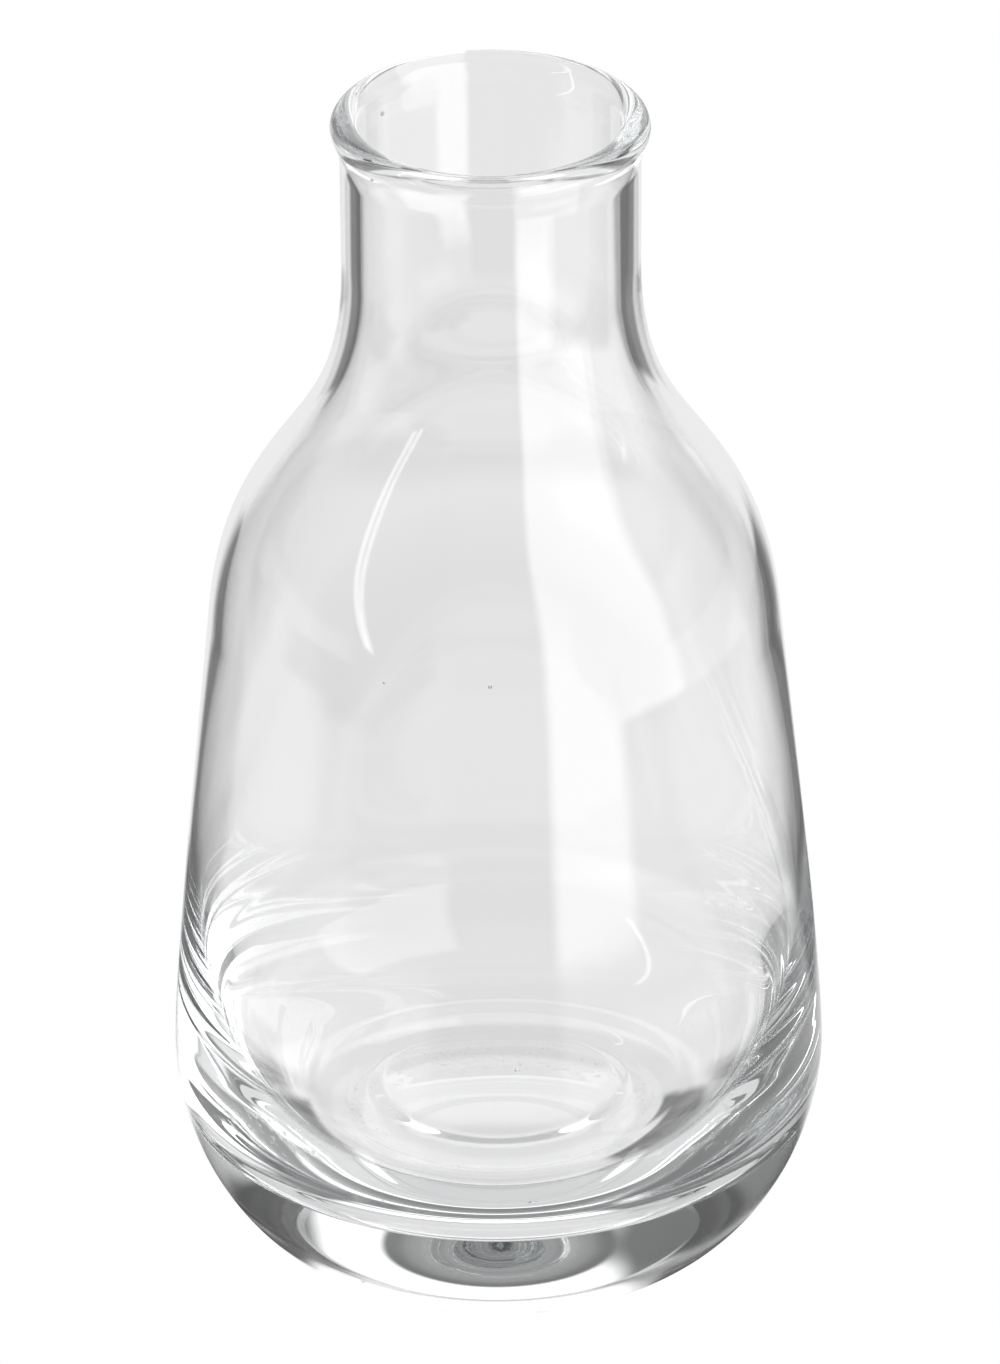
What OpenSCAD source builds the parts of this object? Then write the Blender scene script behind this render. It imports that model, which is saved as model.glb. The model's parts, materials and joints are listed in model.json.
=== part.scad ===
// Clear glass bud vase: one piece of glass, thick rounded base, sloping
// body, S-curved shoulder, straight neck and a rounded lip.
// Origin: centre of the ring it stands on. +Z runs up through the mouth.

/* [Overall] */
// Height from the table to the top of the lip
height = 150; // [145:1:156]
// Largest outside diameter, low on the body
body_d = 79; // [76:0.5:84]

/* [Neck and lip] */
// Outside diameter of the straight neck
neck_d = 35.3; // [32:0.1:39]
// Thickness of the neck's glass
neck_wall = 2.25; // [1.6:0.05:2.8]
// How far the lip stands out past the neck
lip_over = 1.1; // [0.6:0.1:1.6]
// Radius of the hollow curve under the lip
lip_blend = 8; // [5:0.5:10]
// Distance from the top of the lip down to the shoulder
neck_len = 19.5; // [16:0.5:24]

/* [Body] */
// Height at which the side turns in to the shoulder
shoulder_z = 85; // [80:1:90]
// Outside diameter at that height
shoulder_d = 68.4; // [65:0.2:72]
// Thickness of the glass at that height
side_wall = 1.8; // [1.4:0.1:2.6]
// Thickness of the glass where the side meets the thick base
low_wall = 1.75; // [1.4:0.05:2.6]

/* [Base] */
// Height of the rounded bottom corner
corner_h = 25.5; // [22:0.5:30]
// Outside diameter of the ring it stands on
foot_d = 41; // [36:0.5:46]
// Width of that ring
foot_w = 4; // [2:0.5:6]
// Depth of the hollow under the base
foot_hollow = 0.9; // [0.5:0.1:3]
// Height of the lowest part of the inside floor
floor_z = 14.5; // [11:0.5:16]
// Diameter at which the floor starts to curve up to the side
floor_d = 37; // [35:0.5:42]
// Diameter of the slightly raised middle of the floor
dome_d = 32; // [26:0.2:34]
// Height of that raised middle above the floor around it
dome_h = 1.2; // [0.2:0.1:2]
// Width of the slope between them
dome_fall = 3; // [1:0.5:4]
// Height at which the floor's curve reaches the side
bowl_top_z = 40.7; // [38:0.1:50]

/* [Hidden] */
$fn = 128;

// Steps along each curve of the outline
curve_steps = 24;
lip_steps = 16;

// Lip: its roll is as thick as the neck wall and the overhang together
lip_r = (neck_wall + lip_over) / 2;
neck_r = neck_d / 2;
bore_r = neck_r - neck_wall;
lip_x = bore_r + lip_r;
lip_z = height - lip_r;

// Hollow curve under the lip: touches the neck and the roll
blend_x = neck_r + lip_blend;
blend_z = lip_z - sqrt(pow(lip_blend + lip_r, 2) - pow(blend_x - lip_x, 2));
blend_end = asin((lip_z - blend_z) / (lip_blend + lip_r));

// Shoulder: how far each end keeps its direction before it turns
shoulder_r = shoulder_d / 2;
shoulder_top_z = height - neck_len;
shoulder_rise = shoulder_top_z - shoulder_z;
shoulder_low_pull = 0.5 * shoulder_rise;
shoulder_high_pull = 0.55 * shoulder_rise;

// Side: upright at its widest place, and leaning in where it meets the shoulder
body_r = body_d / 2;
side_lean = 0.1;
side_rise = shoulder_z - corner_h;
side_low_pull = 0.15 * side_rise;
side_high_pull = 0.375 * side_rise;

// Rounded corner: leaves the standing ring flat and reaches the side upright
foot_r = foot_d / 2;
foot_in_r = foot_r - foot_w;
corner_out = 0.59 * (body_r - foot_r);
corner_up = 0.56 * corner_h;

// Inside of the shoulder sits lower, to keep the glass thick on the slope
inner_drop = side_wall / 2;
inner_side_r = shoulder_r - side_wall;

// Inside of the side, above the bowl of the base
bowl_top_r = outer_radius(bowl_top_z) - low_wall;
inner_pull = 0.3 * (shoulder_z - inner_drop - bowl_top_z);

// Inside floor, and how far the bowl's curve keeps flat and then upright
floor_r = floor_d / 2;
dome_r = dome_d / 2;
bowl_out = 0.56 * (bowl_top_r - floor_r);
bowl_up = 0.78 * (bowl_top_z - floor_z);

// Point on a curve with end points a and d that leaves towards b and arrives from c
function curve_point(a, b, c, d, t) =
    pow(1 - t, 3) * a + 3 * pow(1 - t, 2) * t * b + 3 * (1 - t) * t * t * c + pow(t, 3) * d;

// The curve's points after its first
function curve(a, b, c, d) =
    [for (i = [1 : curve_steps]) curve_point(a, b, c, d, i / curve_steps)];

// Points listed the other way round
function backwards(points) =
    [for (i = [len(points) - 1 : -1 : 0]) points[i]];

// Hollow underside, from the middle out to the standing ring
function underside() =
    [for (i = [0 : curve_steps])
        let (x = foot_in_r * i / curve_steps)
        [x, foot_hollow * (1 - pow(x / foot_in_r, 2))]];

// Rounded bottom corner, from the standing ring to the widest place
function corner_line() = concat(
    [[foot_r, 0]],
    curve(
        [foot_r, 0],
        [foot_r + corner_out, 0],
        [body_r, corner_up],
        [body_r, corner_h]));

// Side, from the top of the rounded corner to the shoulder
function side_line() =
    curve(
        [body_r, corner_h],
        [body_r, corner_h + side_low_pull],
        [shoulder_r + side_lean * side_high_pull, shoulder_z - side_high_pull],
        [shoulder_r, shoulder_z]);

// Outside radius of the side at a height
function outer_radius(z) =
    lookup(z, [for (p = side_line()) [p[1], p[0]]]);

// S-curve of the shoulder, in from low_r to high_r, and lower by drop
function shoulder_line(low_r, high_r, drop) =
    curve(
        [low_r, shoulder_z - drop],
        [low_r - side_lean * shoulder_low_pull, shoulder_z - drop + shoulder_low_pull],
        [high_r, shoulder_top_z - drop - shoulder_high_pull],
        [high_r, shoulder_top_z - drop]);

// Hollow curve under the lip, then the roll of the lip over to the bore
function lip() = concat(
    [for (i = [0 : lip_steps])
        let (turn = blend_end * i / lip_steps)
        [blend_x - lip_blend * cos(turn), blend_z + lip_blend * sin(turn)]],
    [for (i = [1 : 2 * lip_steps])
        let (turn = -blend_end + (180 + blend_end) * i / (2 * lip_steps))
        [lip_x + lip_r * cos(turn), lip_z + lip_r * sin(turn)]]);

// Inside floor, from the middle outwards: the raised middle, then the slope round it
function floor_line() = concat(
    [[0, floor_z + dome_h]],
    [for (i = [0 : curve_steps])
        let (share = i / curve_steps)
        [dome_r + dome_fall * (share - 0.5), floor_z + dome_h * (1 + cos(180 * share)) / 2]]);

// Inside surface, from the middle of the floor up to the bore
function inner_line() = concat(
    floor_line(),
    [[floor_r, floor_z]],
    curve(
        [floor_r, floor_z],
        [floor_r + bowl_out, floor_z],
        [bowl_top_r, bowl_top_z - bowl_up],
        [bowl_top_r, bowl_top_z]),
    curve(
        [bowl_top_r, bowl_top_z],
        [bowl_top_r, bowl_top_z + inner_pull],
        [inner_side_r + side_lean * inner_pull, shoulder_z - inner_drop - inner_pull],
        [inner_side_r, shoulder_z - inner_drop]),
    shoulder_line(inner_side_r, bore_r, inner_drop));

// The whole vase is one turned piece of glass
module vase_glass() {
    color([0.93, 0.96, 0.96, 0.35])
        rotate_extrude()
            polygon(concat(
                underside(),
                corner_line(),
                side_line(),
                shoulder_line(shoulder_r, neck_r, 0),
                lip(),
                backwards(inner_line())));
}

vase_glass();
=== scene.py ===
"""Looks of the clear glass bud vase: one turned piece of clear glass in a bright studio."""

import json
import math

import bpy
from mathutils import Matrix, Vector


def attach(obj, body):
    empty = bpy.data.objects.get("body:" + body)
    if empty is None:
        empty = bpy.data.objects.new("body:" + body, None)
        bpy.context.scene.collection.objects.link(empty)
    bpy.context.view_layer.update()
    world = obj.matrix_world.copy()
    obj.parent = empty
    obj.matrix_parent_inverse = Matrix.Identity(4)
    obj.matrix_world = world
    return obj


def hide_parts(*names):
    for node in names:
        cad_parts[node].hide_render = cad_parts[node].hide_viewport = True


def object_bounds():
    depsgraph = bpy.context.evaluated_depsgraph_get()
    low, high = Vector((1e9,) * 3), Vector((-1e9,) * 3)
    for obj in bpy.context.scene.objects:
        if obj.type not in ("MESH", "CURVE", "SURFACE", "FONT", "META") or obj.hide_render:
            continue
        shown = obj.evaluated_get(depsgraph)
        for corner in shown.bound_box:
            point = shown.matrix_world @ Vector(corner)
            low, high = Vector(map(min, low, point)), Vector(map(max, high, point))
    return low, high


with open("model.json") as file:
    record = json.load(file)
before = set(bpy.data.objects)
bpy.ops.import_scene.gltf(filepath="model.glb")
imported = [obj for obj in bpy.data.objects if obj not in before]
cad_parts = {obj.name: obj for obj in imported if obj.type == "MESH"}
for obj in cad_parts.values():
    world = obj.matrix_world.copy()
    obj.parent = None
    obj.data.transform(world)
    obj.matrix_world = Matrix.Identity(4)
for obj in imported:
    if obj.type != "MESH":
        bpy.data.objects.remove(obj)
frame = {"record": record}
CAD_LO, CAD_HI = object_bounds()
MOUNTS = {mount["name"]: mount for mount in frame["record"]["mounts"]}

MM = 0.001

# ---------------------------------------------------------------- sizes
# The driving sizes of the CAD source, in metres. Height, widest radius and
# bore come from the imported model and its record.
HEIGHT = CAD_HI.z
BODY_R = CAD_HI.x
BORE_R = MOUNTS["mouth"]["dims"]["r_mm"] * MM

# Neck and lip
NECK_R = 17.65 * MM
LIP_OVER = 1.1 * MM
LIP_BLEND = 8 * MM
LIP_R = (NECK_R - BORE_R + LIP_OVER) / 2
LIP_X = BORE_R + LIP_R
LIP_Z = HEIGHT - LIP_R

# Shoulder and side. A pull is how far an end of a curve keeps its direction
# before it turns, as a share of the curve's rise
SHOULDER_TOP_Z = HEIGHT - 19.5 * MM
SHOULDER_Z = 85 * MM
SHOULDER_R = 34.2 * MM
SIDE_WALL = 1.8 * MM
LOW_WALL = 1.75 * MM
SIDE_LEAN = 0.1
SHOULDER_LOW_PULL = 0.5
SHOULDER_HIGH_PULL = 0.55
SIDE_LOW_PULL = 0.15
SIDE_HIGH_PULL = 0.375
INNER_PULL = 0.3

# Rounded corner: its height, and how far out and up its curve keeps its
# direction, as a share of the way
CORNER_H = 25.5 * MM
CORNER_OUT = 0.59
CORNER_UP = 0.56

# Base: standing ring, hollow under it, inside floor and the bowl round it,
# whose out and up shares work as those of the corner do
FOOT_R = 20.5 * MM
FOOT_IN_R = 16.5 * MM
FOOT_HOLLOW = 0.9 * MM
FLOOR_Z = 14.5 * MM
FLOOR_R = 18.5 * MM
DOME_R = 16 * MM
DOME_H = 1.2 * MM
DOME_FALL = 3 * MM
BOWL_TOP_Z = 40.7 * MM
BOWL_OUT = 0.56
BOWL_UP = 0.78

# Steps round the vase and along each part of its outline
SIDES = 240
UNDERSIDE_STEPS = 12
CORNER_STEPS = 66
SIDE_STEPS = 40
SHOULDER_STEPS = 40
BLEND_STEPS = 10
ROLL_STEPS = 48
INNER_SIDE_STEPS = 40
BOWL_STEPS = 70
DOME_STEPS = 8
FALL_STEPS = 18
TROUGH_STEPS = 8
# Points closer together than this are one point
SAME_PLACE = 0.001 * MM

# Slight unevenness of the glass: size, waves round the vase, waves over its
# height, and where the pattern starts, in radians. It fades out near the
# table and near the axis
OUTER_WAVES = [
    (0.014 * MM, 2, 1.3, 0.4),
    (0.008 * MM, 3, 2.1, 2.0),
    (0.003 * MM, 7, 1.7, 4.1),
]
INNER_WAVES = [
    (0.03 * MM, 2, 0.8, 3.6),
    (0.016 * MM, 3, 1.3, 1.1),
    (0.004 * MM, 5, 1.9, 5.2),
]
WAVE_FULL_Z = 10 * MM
WAVE_FULL_R = 15 * MM

# Low ring left by the mould on the inside of the bowl
MOULD_RING_R = 24 * MM
MOULD_RING_W = 0.8 * MM
MOULD_RING_H = 0.2 * MM

# The lip sits a little lower and thicker on its +X side; this fades in over
# the top part of the neck
LIP_DIP = 0.25 * MM
LIP_SWELL = 0.12 * MM
LIP_DIP_RISE = 14 * MM

# Seed bubbles in the glass: where each one is and its radius, in millimetres
SEEDS = [
    ("floor_seed", 2.3, 7.4, 10, 0.35),
    ("body_seed", -0.6, -32.5, 91.3, 0.22),
    ("body_glint", -12.9, -29.9, 90.6, 0.16),
    ("lip_seed", -13.2, 10, 145.4, 0.3),
    ("base_seed", -16.5, -28.6, 8, 0.25),
]
SEED_SIDES = 16
SEED_RINGS = 8


# ---------------------------------------------------------------- outline
def curve(a, b, c, d, steps):
    """Points after the first on a curve from a to d that leaves towards b and arrives from c."""
    points = []
    for i in range(1, steps + 1):
        t = i / steps
        s = 1 - t
        points.append(tuple(
            s**3 * a[k] + 3 * s * s * t * b[k] + 3 * s * t * t * c[k] + t**3 * d[k]
            for k in range(2)
        ))
    return points


def underside_line():
    """Shallow hollow under the base, from the middle out to the standing ring."""
    points = []
    for i in range(UNDERSIDE_STEPS + 1):
        r = FOOT_IN_R * i / UNDERSIDE_STEPS
        points.append((r, FOOT_HOLLOW * (1 - (r / FOOT_IN_R) ** 2)))
    return points


def corner_line():
    """Rounded bottom corner, from the ring it stands on to its widest place."""
    return [(FOOT_R, 0)] + curve(
        (FOOT_R, 0),
        (FOOT_R + CORNER_OUT * (BODY_R - FOOT_R), 0),
        (BODY_R, CORNER_UP * CORNER_H),
        (BODY_R, CORNER_H),
        CORNER_STEPS,
    )


def side_line():
    """Sloping side, from the rounded corner up to the shoulder."""
    rise = SHOULDER_Z - CORNER_H
    return curve(
        (BODY_R, CORNER_H),
        (BODY_R, CORNER_H + SIDE_LOW_PULL * rise),
        (SHOULDER_R + SIDE_LEAN * SIDE_HIGH_PULL * rise, SHOULDER_Z - SIDE_HIGH_PULL * rise),
        (SHOULDER_R, SHOULDER_Z),
        SIDE_STEPS,
    )


def outer_radius(z):
    """Outside radius of the side at a height."""
    below = (BODY_R, CORNER_H)
    for point in side_line():
        if point[1] >= z:
            share = (z - below[1]) / (point[1] - below[1])
            return below[0] + share * (point[0] - below[0])
        below = point
    return SHOULDER_R


def shoulder_line(low_r, high_r, drop):
    """S-curve of the shoulder, in from low_r to high_r, and lower by drop."""
    rise = SHOULDER_TOP_Z - SHOULDER_Z
    low_pull = SHOULDER_LOW_PULL * rise
    high_pull = SHOULDER_HIGH_PULL * rise
    return curve(
        (low_r, SHOULDER_Z - drop),
        (low_r - SIDE_LEAN * low_pull, SHOULDER_Z - drop + low_pull),
        (high_r, SHOULDER_TOP_Z - drop - high_pull),
        (high_r, SHOULDER_TOP_Z - drop),
        SHOULDER_STEPS,
    )


def blend_arc():
    """Middle and end angle of the hollow curve under the lip."""
    x = NECK_R + LIP_BLEND
    z = LIP_Z - math.sqrt((LIP_BLEND + LIP_R) ** 2 - (x - LIP_X) ** 2)
    return x, z, math.asin((LIP_Z - z) / (LIP_BLEND + LIP_R))


def blend_line():
    """Hollow curve from the neck out to the lip."""
    x, z, end = blend_arc()
    points = []
    for i in range(BLEND_STEPS + 1):
        turn = end * i / BLEND_STEPS
        points.append((x - LIP_BLEND * math.cos(turn), z + LIP_BLEND * math.sin(turn)))
    return points


def roll_line():
    """Roll of the lip, from the hollow curve over to the bore."""
    start = -blend_arc()[2]
    points = []
    for i in range(1, ROLL_STEPS + 1):
        turn = start + (math.pi - start) * i / ROLL_STEPS
        points.append((LIP_X + LIP_R * math.cos(turn), LIP_Z + LIP_R * math.sin(turn)))
    return points


def floor_line():
    """Inside floor from its middle outwards: raised middle, its fall, and the trough round it."""
    fall_start = DOME_R - DOME_FALL / 2
    fall_end = DOME_R + DOME_FALL / 2
    points = []
    for i in range(DOME_STEPS):
        points.append((fall_start * i / DOME_STEPS, FLOOR_Z + DOME_H))
    for i in range(FALL_STEPS):
        share = i / FALL_STEPS
        lift = DOME_H * (1 + math.cos(math.pi * share)) / 2
        points.append((fall_start + DOME_FALL * share, FLOOR_Z + lift))
    for i in range(TROUGH_STEPS + 1):
        points.append((fall_end + (FLOOR_R - fall_end) * i / TROUGH_STEPS, FLOOR_Z))
    return points


def bowl_line():
    """Inside of the thick base, from the floor up to the side."""
    top_r = outer_radius(BOWL_TOP_Z) - LOW_WALL
    return curve(
        (FLOOR_R, FLOOR_Z),
        (FLOOR_R + BOWL_OUT * (top_r - FLOOR_R), FLOOR_Z),
        (top_r, BOWL_TOP_Z - BOWL_UP * (BOWL_TOP_Z - FLOOR_Z)),
        (top_r, BOWL_TOP_Z),
        BOWL_STEPS,
    )


def inner_side_line():
    """Inside of the side, from the bowl up to the shoulder."""
    top_r = outer_radius(BOWL_TOP_Z) - LOW_WALL
    drop = SIDE_WALL / 2
    side_r = SHOULDER_R - SIDE_WALL
    pull = INNER_PULL * (SHOULDER_Z - drop - BOWL_TOP_Z)
    return curve(
        (top_r, BOWL_TOP_Z),
        (top_r, BOWL_TOP_Z + pull),
        (side_r + SIDE_LEAN * pull, SHOULDER_Z - drop - pull),
        (side_r, SHOULDER_Z - drop),
        INNER_SIDE_STEPS,
    )


def outline():
    """Closed outline of the glass as (radius, height, share of the inside's unevenness)."""
    outer = underside_line() + corner_line() + side_line()
    outer += shoulder_line(SHOULDER_R, NECK_R, 0) + blend_line()
    inner = floor_line() + bowl_line() + inner_side_line()
    inner += shoulder_line(SHOULDER_R - SIDE_WALL, BORE_R, SIDE_WALL / 2)
    points = [(r, z, 0) for r, z in outer]
    points += [(r, z, (i + 1) / ROLL_STEPS) for i, (r, z) in enumerate(roll_line())]
    points += [(r, z, 1) for r, z in reversed(inner)]
    return drop_repeats(points)


def drop_repeats(points):
    """The points without any that sits on the one before it."""
    kept = [points[0]]
    for point in points[1:]:
        if math.dist(point[:2], kept[-1][:2]) > SAME_PLACE:
            kept.append(point)
    return kept


# ---------------------------------------------------------------- vase
def ramp(value, start, end):
    """0 up to start, 1 from end on, and smooth between."""
    t = min(max((value - start) / (end - start), 0), 1)
    return t * t * (3 - 2 * t)


def wave_sum(waves, angle, z):
    """Unevenness of the glass at an angle and a height."""
    total = 0
    for size, turns, rises, start in waves:
        total += size * math.sin(turns * angle + 2 * math.pi * rises * z / HEIGHT + start)
    return total


def mould_ring(r, z):
    """Height of the mould's ring, which is only on the inside of the bowl."""
    if not FLOOR_Z <= z < BOWL_TOP_Z:
        return 0
    return MOULD_RING_H * math.exp(-((r - MOULD_RING_R) / MOULD_RING_W) ** 2)


def outward(points, i):
    """Direction out of the glass at point i of the outline, as (radial, up)."""
    before = points[max(i - 1, 0)]
    after = points[min(i + 1, len(points) - 1)]
    along = Vector((after[0] - before[0], after[1] - before[1])).normalized()
    return along.y, -along.x


def uneven_ring(point, normal):
    """One ring of the vase, with the slight unevenness of real glass."""
    r, z, inside = point
    fade = min(z / WAVE_FULL_Z, 1) * min(r / WAVE_FULL_R, 1)
    on_lip = ramp(z, HEIGHT - LIP_DIP_RISE, HEIGHT)
    ring = []
    for k in range(SIDES):
        angle = 2 * math.pi * k / SIDES
        to_right = (1 + math.cos(angle)) / 2
        push = (1 - inside) * wave_sum(OUTER_WAVES, angle, z)
        push += inside * wave_sum(INNER_WAVES, angle, z)
        push = push * fade + mould_ring(r, z) + LIP_SWELL * to_right * on_lip
        x = r + push * normal[0]
        lift = push * normal[1] - LIP_DIP * to_right * on_lip
        ring.append((x * math.cos(angle), x * math.sin(angle), z + lift))
    return ring


def ring_faces(low, high):
    """Faces between two rings of vertex numbers; a ring of one is a point on the axis."""
    faces = []
    for k in range(SIDES):
        n = (k + 1) % SIDES
        if len(low) == 1:
            faces.append((low[0], high[n], high[k]))
        elif len(high) == 1:
            faces.append((low[k], low[n], high[0]))
        else:
            faces.append((low[k], low[n], high[n], high[k]))
    return faces


def turned_glass():
    """Vertices and faces of the turned glass."""
    points = outline()
    verts = []
    faces = []
    rings = []
    for i, point in enumerate(points):
        first = len(verts)
        if point[0] == 0:
            verts.append((0, 0, point[1]))
        else:
            verts += uneven_ring(point, outward(points, i))
        rings.append(list(range(first, len(verts))))
    for low, high in zip(rings[:-1], rings[1:]):
        faces += ring_faces(low, high)
    return verts, faces


def seed_bubble(centre, radius, first):
    """A small round hollow in the glass, with its faces turned to its middle."""
    verts = [centre + Vector((0, 0, radius))]
    for i in range(1, SEED_RINGS):
        down = math.pi * i / SEED_RINGS
        for k in range(SEED_SIDES):
            angle = 2 * math.pi * k / SEED_SIDES
            side = radius * math.sin(down)
            verts.append(centre + Vector((
                side * math.cos(angle), side * math.sin(angle), radius * math.cos(down))))
    verts.append(centre - Vector((0, 0, radius)))
    bottom = first + len(verts) - 1
    faces = []
    for k in range(SEED_SIDES):
        n = (k + 1) % SEED_SIDES
        faces.append((first, first + 1 + n, first + 1 + k))
        faces.append((bottom, bottom - SEED_SIDES + k, bottom - SEED_SIDES + n))
        for i in range(SEED_RINGS - 2):
            row = first + 1 + i * SEED_SIDES
            below = row + SEED_SIDES
            faces.append((row + k, row + n, below + n, below + k))
    return [tuple(v) for v in verts], faces


def build_vase():
    """The whole vase as one piece of glass, with its seed bubbles."""
    verts, faces = turned_glass()
    for _, x, y, z, radius in SEEDS:
        more_verts, more_faces = seed_bubble(Vector((x, y, z)) * MM, radius * MM, len(verts))
        verts += more_verts
        faces += more_faces
    mesh = bpy.data.meshes.new("vase")
    mesh.from_pydata(verts, [], faces)
    mesh.validate()
    mesh.polygons.foreach_set("use_smooth", [True] * len(mesh.polygons))
    mesh.update()
    obj = bpy.data.objects.new("vase", mesh)
    bpy.context.scene.collection.objects.link(obj)
    return obj


# ---------------------------------------------------------------- node helpers
class Nodes:
    """Short ways to add the nodes that the materials and the world share."""

    def __init__(self, tree):
        self.tree = tree
        tree.nodes.clear()

    def add(self, kind, **settings):
        node = self.tree.nodes.new(kind)
        for name, value in settings.items():
            setattr(node, name, value)
        return node

    def put(self, socket, value):
        """Link a socket to another node's output, or set it to a plain value."""
        if isinstance(value, bpy.types.NodeSocket):
            self.tree.links.new(value, socket)
        else:
            socket.default_value = value

    def math(self, operation, *values):
        node = self.add("ShaderNodeMath", operation=operation)
        for socket, value in zip(node.inputs, values):
            self.put(socket, value)
        return node.outputs[0]

    def smooth_step(self, value, start, end):
        """0 before start, 1 past end; start may lie above end."""
        node = self.add("ShaderNodeMapRange", interpolation_type="SMOOTHSTEP")
        self.put(node.inputs["Value"], value)
        self.put(node.inputs["From Min"], start)
        self.put(node.inputs["From Max"], end)
        return node.outputs["Result"]

    def between(self, share, low, high):
        """Low where share is 0 and high where it is 1."""
        node = self.add("ShaderNodeMapRange", clamp=False)
        self.put(node.inputs["Value"], share)
        self.put(node.inputs["To Min"], low)
        self.put(node.inputs["To Max"], high)
        return node.outputs["Result"]

    def noise(self, vector, scale, detail):
        node = self.add("ShaderNodeTexNoise")
        self.put(node.inputs["Vector"], vector)
        self.put(node.inputs["Scale"], scale)
        self.put(node.inputs["Detail"], detail)
        return node.outputs["Fac"]


def new_material(name):
    """A new material and the helper that fills its node tree."""
    mat = bpy.data.materials.new(name)
    mat.use_nodes = True
    return mat, Nodes(mat.node_tree)


# ---------------------------------------------------------------- glass
GLASS_IOR = 1.5
# Light lost per metre of glass: (1 - colour) x density, very faintly cool
GLASS_COLOUR = (0.9, 0.905, 0.907, 1)
GLASS_DENSITY = 25
# Faint smudges, scuffs on the standing ring and shallow ripples: size and
# detail of the pattern, where it starts and is full, and how much it does
SMUDGE_SCALE = 45
SMUDGE_DETAIL = 3
SMUDGE_START = 0.55
SMUDGE_FULL = 0.8
SMUDGE_ROUGHNESS = 0.035
SCUFF_SCALE = 900
SCUFF_DETAIL = 2
SCUFF_START = 0.45
SCUFF_FULL = 0.7
SCUFF_ROUGHNESS = 0.3
SCUFF_TOP = 0.25 * MM
RIPPLE_SCALE = 70
RIPPLE_DETAIL = 1
RIPPLE_DEPTH = 0.004 * MM
WHITE = (1, 1, 1, 1)


def glass_material():
    """Clear glass: faint smudges, a scuffed standing ring and very shallow ripples."""
    mat, n = new_material("clear_glass")
    place = n.add("ShaderNodeTexCoord").outputs["Object"]
    split = n.add("ShaderNodeSeparateXYZ")
    n.put(split.inputs[0], place)

    smudge = n.noise(place, SMUDGE_SCALE, SMUDGE_DETAIL)
    smudge = n.smooth_step(smudge, SMUDGE_START, SMUDGE_FULL)
    scratch = n.noise(place, SCUFF_SCALE, SCUFF_DETAIL)
    scratch = n.smooth_step(scratch, SCUFF_START, SCUFF_FULL)
    near_table = n.smooth_step(split.outputs["Z"], SCUFF_TOP, 0)
    scuff = n.math("MULTIPLY", scratch, near_table)
    roughness = n.math("MULTIPLY", smudge, SMUDGE_ROUGHNESS)
    roughness = n.math("MULTIPLY_ADD", scuff, SCUFF_ROUGHNESS, roughness)

    ripple = n.add("ShaderNodeBump")
    n.put(ripple.inputs["Height"], n.noise(place, RIPPLE_SCALE, RIPPLE_DETAIL))
    n.put(ripple.inputs["Distance"], RIPPLE_DEPTH)

    shader = n.add("ShaderNodeBsdfPrincipled")
    n.put(shader.inputs["Base Color"], WHITE)
    n.put(shader.inputs["Roughness"], roughness)
    n.put(shader.inputs["IOR"], GLASS_IOR)
    n.put(shader.inputs["Transmission Weight"], 1)
    n.put(shader.inputs["Normal"], ripple.outputs["Normal"])
    inside = n.add("ShaderNodeVolumeAbsorption")
    n.put(inside.inputs["Color"], GLASS_COLOUR)
    n.put(inside.inputs["Density"], GLASS_DENSITY)
    out = n.add("ShaderNodeOutputMaterial")
    n.put(out.inputs["Surface"], shader.outputs["BSDF"])
    n.put(out.inputs["Volume"], inside.outputs["Volume"])
    return mat


# ---------------------------------------------------------------- studio
# The camera sees a pure white table and room. The glass sees the studio below:
# directions are in degrees, azimuth 0 in front of the vase and 90 at +X.
# The room's light rises from the horizon to straight up
ROOM_LOW = 0.15
ROOM_TOP = 0.5
# Soft areas of the room: name, azimuth at the horizon, elevation, width,
# height, light, soft edge, and degrees it leans round for each degree it
# rises. Each covers the ones before it
ROOM_AREAS = [
    ("front high", 0, 34, 50, 24, 0.35, 10, 0),
    ("front", -3, 8, 46, 26, 0.05, 3, 0),
    ("back wide", 180, 20, 120, 60, 0.25, 8, 0),
    ("back", 173, 18, 64, 40, 1.7, 4, 0),
    ("side", 97, 6, 38, 24, 1, 4, 0),
    ("left low", 270, 0, 60, 14, 0.7, 3, 0),
    ("window", 48, 16, 56, 62, 2.7, 3, 0),
    ("strip", 312, 30, 3, 48, 4.5, 1, -0.75),
]

TABLE_HALF = 5.0
TABLE_GAP = 0.2 * MM
TABLE_LIGHT = 0.85
# A patch that goes on past the edge of the table
ENDLESS = 9000
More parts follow.
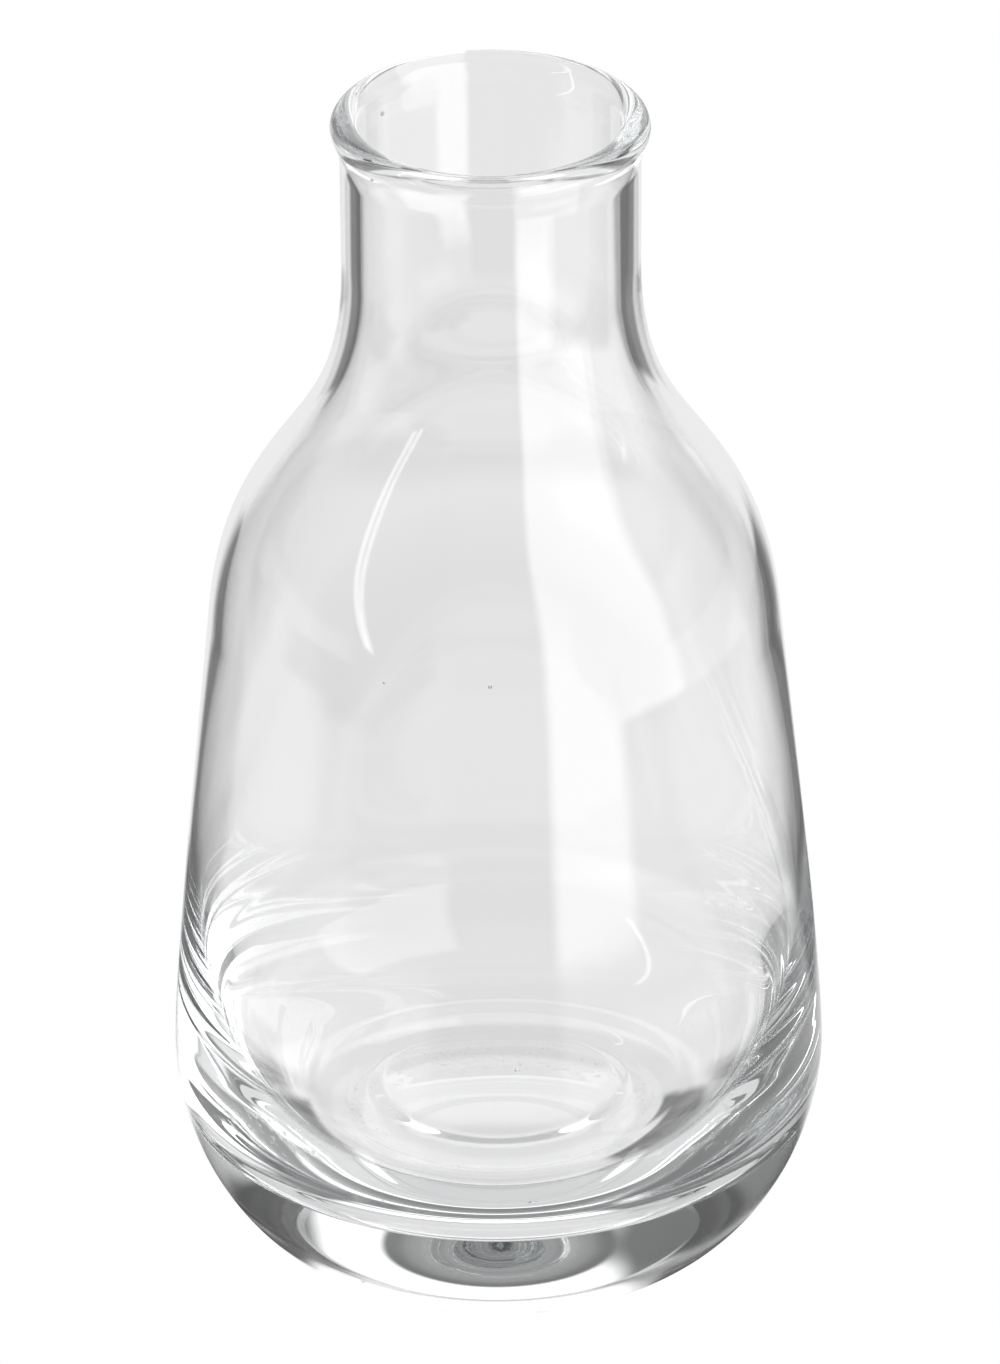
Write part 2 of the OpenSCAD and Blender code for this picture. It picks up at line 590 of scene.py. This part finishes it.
# Soft patches of the table's own light, each a sector round the vase: painted
# shadows of the vase, painted caustic pools, and painted shade and pools of
# window light further out. Columns: name, azimuth, width, nearest and farthest
# millimetres, light, soft degrees and soft share. Each covers the ones before it
TABLE_PATCHES = [
    # Painted shadows of the vase, under and just round its foot
    ("contact shadow", 170, 240, 19, 30, 0.7, 25, 0.05),
    ("left foot shadow", 286, 40, 29, 36, 0.05, 4, 0.03),
    ("right foot shadow", 72, 56, 24, 32, 0.05, 4, 0.04),
    ("shade", 0, 220, 34, 60, 0.05, 8, 0.12),
    # Painted caustic pools, where the glass would focus light onto the table
    ("left glow", 292, 64, 62, 120, 1.5, 8, 0.15),
    ("right glow", 58, 40, 92, 130, 1.6, 8, 0.12),
    # Painted shade and painted pools of window light further out on the table
    ("back left", 233, 32, 60, ENDLESS, 0.25, 4, 0.15),
    ("back right", 128, 24, 150, ENDLESS, 0.4, 4, 0.15),
    ("right shade", 139, 28, 85, 400, 0.15, 4, 0.1),
    ("left shade", 223, 20, 100, 500, 0.15, 4, 0.1),
    ("left far", 283, 24, 400, ENDLESS, 0.15, 6, 0.15),
    ("left middle", 303, 24, 280, ENDLESS, 0.1, 6, 0.15),
    ("front left", 325, 34, 190, ENDLESS, 0.2, 6, 0.15),
    ("front", -1, 42, 90, ENDLESS, 0.2, 3, 0.2),
    ("right far", 34, 28, 200, ENDLESS, 2.7, 3, 0.1),
    ("right edge", 62, 30, 330, ENDLESS, 2.7, 3, 0.1),
    ("side far", 95, 34, 330, ENDLESS, 1.3, 4, 0.1),
]


def azimuth_of(n, x, y):
    """Direction round the vase in degrees: 0 in front, 90 at +X."""
    return n.math("DEGREES", n.math("ARCTAN2", x, n.math("MULTIPLY", y, -1)))


def within_turn(n, azimuth, turn, width, soft):
    """1 inside a range of azimuths and 0 outside, with soft edges."""
    away = n.math("ABSOLUTE", n.math("WRAP", n.math("SUBTRACT", azimuth, turn), 180, -180))
    return n.smooth_step(away, width / 2 + soft, width / 2 - soft)


def room_light(n):
    """Brightness of the room in each direction."""
    split = n.add("ShaderNodeSeparateXYZ")
    n.put(split.inputs[0], n.add("ShaderNodeTexCoord").outputs["Generated"])
    azimuth = azimuth_of(n, split.outputs["X"], split.outputs["Y"])
    elevation = n.math("DEGREES", n.math("ARCSINE", split.outputs["Z"]))
    light = n.between(n.smooth_step(elevation, 0, 90), ROOM_LOW, ROOM_TOP)
    for _, turn, rise, width, height, level, soft, lean in ROOM_AREAS:
        middle = n.math("MULTIPLY_ADD", elevation, lean, turn)
        up = n.math("ABSOLUTE", n.math("SUBTRACT", elevation, rise))
        within_rise = n.smooth_step(up, height / 2 + soft, height / 2 - soft)
        inside = n.math("MULTIPLY", within_turn(n, azimuth, middle, width, soft), within_rise)
        light = n.between(inside, light, level)
    return light


def table_light(n):
    """Brightness of the table at each place, with its painted shadows and pools of light."""
    split = n.add("ShaderNodeSeparateXYZ")
    n.put(split.inputs[0], n.add("ShaderNodeNewGeometry").outputs["Position"])
    x = split.outputs["X"]
    y = split.outputs["Y"]
    azimuth = azimuth_of(n, x, y)
    distance = n.math("SQRT", n.math("MULTIPLY_ADD", x, x, n.math("MULTIPLY", y, y)))
    light = TABLE_LIGHT
    for _, turn, width, near, far, level, soft, share in TABLE_PATCHES:
        past_near = n.smooth_step(distance, near * (1 - share) * MM, near * (1 + share) * MM)
        before_far = n.smooth_step(distance, far * (1 + share) * MM, far * (1 - share) * MM)
        inside = n.math("MULTIPLY", past_near, before_far)
        inside = n.math("MULTIPLY", within_turn(n, azimuth, turn, width, soft), inside)
        light = n.between(inside, light, level)
    return light


def white_to_camera(n, kind, level):
    """A shader of this kind with this light, but plain white to the camera."""
    studio = n.add(kind)
    n.put(studio.inputs["Color"], WHITE)
    n.put(studio.inputs["Strength"], level)
    white = n.add(kind)
    n.put(white.inputs["Color"], WHITE)
    mix = n.add("ShaderNodeMixShader")
    n.put(mix.inputs["Fac"], n.add("ShaderNodeLightPath").outputs["Is Camera Ray"])
    n.put(mix.inputs[1], studio.outputs[0])
    n.put(mix.inputs[2], white.outputs[0])
    return mix.outputs[0]


def build_room():
    """The room, as the light of the world."""
    world = bpy.data.worlds.new("studio")
    bpy.context.scene.world = world
    world.use_nodes = True
    n = Nodes(world.node_tree)
    out = n.add("ShaderNodeOutputWorld")
    n.put(out.inputs["Surface"], white_to_camera(n, "ShaderNodeBackground", room_light(n)))
    world.cycles.sampling_method = "NONE"


def build_table():
    """A flat table that gives its own light, just under the vase."""
    z = CAD_LO.z - TABLE_GAP
    half = TABLE_HALF
    corners = [(-half, -half, z), (half, -half, z), (half, half, z), (-half, half, z)]
    mesh = bpy.data.meshes.new("table")
    mesh.from_pydata(corners, [], [(0, 1, 2, 3)])
    mat, n = new_material("white_table")
    out = n.add("ShaderNodeOutputMaterial")
    n.put(out.inputs["Surface"], white_to_camera(n, "ShaderNodeEmission", table_light(n)))
    mat.cycles.emission_sampling = "NONE"
    mesh.materials.append(mat)
    obj = bpy.data.objects.new("table", mesh)
    bpy.context.scene.collection.objects.link(obj)


# ---------------------------------------------------------------- camera
# A long lens, looking down on the middle of the vase from in front. Distances
# are in metres, angles in degrees, lens and sensor in millimetres
CAMERA_DISTANCE = 1.3
CAMERA_ELEVATION = 28.5
CAMERA_LENS = 285.46
CAMERA_SENSOR = 36
CAMERA_ROLL = 0.56
CAMERA_NEAREST = 0.05
CAMERA_FARTHEST = 20
AIM_RIGHT = 0.565 * MM
AIM_DOWN = 0.65 * MM


def build_camera():
    """The camera, turned to its aim point and then rolled a little."""
    data = bpy.data.cameras.new("camera")
    data.sensor_width = CAMERA_SENSOR
    data.lens = CAMERA_LENS
    data.clip_start = CAMERA_NEAREST
    data.clip_end = CAMERA_FARTHEST
    cam = bpy.data.objects.new("camera", data)
    bpy.context.scene.collection.objects.link(cam)
    e = math.radians(CAMERA_ELEVATION)
    back = Vector((0, -math.cos(e), math.sin(e)))
    up = Vector((0, math.sin(e), math.cos(e)))
    right = Vector((1, 0, 0))
    centre = Vector((0, 0, HEIGHT / 2))
    place = centre + back * CAMERA_DISTANCE
    aim = centre + right * AIM_RIGHT - up * AIM_DOWN
    look = (aim - place).to_track_quat("-Z", "Y").to_matrix().to_4x4()
    roll = Matrix.Rotation(math.radians(-CAMERA_ROLL), 4, "Z")
    cam.matrix_world = Matrix.Translation(place) @ look @ roll
    bpy.context.scene.camera = cam


# Thick glass traps light for many turns before it comes out
GLASS_BOUNCES = 192


def set_picture():
    """Plain colours, and enough bounces for light to get through the glass."""
    scene = bpy.context.scene
    scene.view_settings.view_transform = "Standard"
    scene.cycles.max_bounces = GLASS_BOUNCES
    scene.cycles.transmission_bounces = GLASS_BOUNCES
    scene.cycles.glossy_bounces = GLASS_BOUNCES
    scene.cycles.sample_clamp_indirect = 0


# ---------------------------------------------------------------- scene
vase = build_vase()
vase.data.materials.append(glass_material())
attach(vase, "root")
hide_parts("vase_glass")

build_table()
build_room()
build_camera()
set_picture()
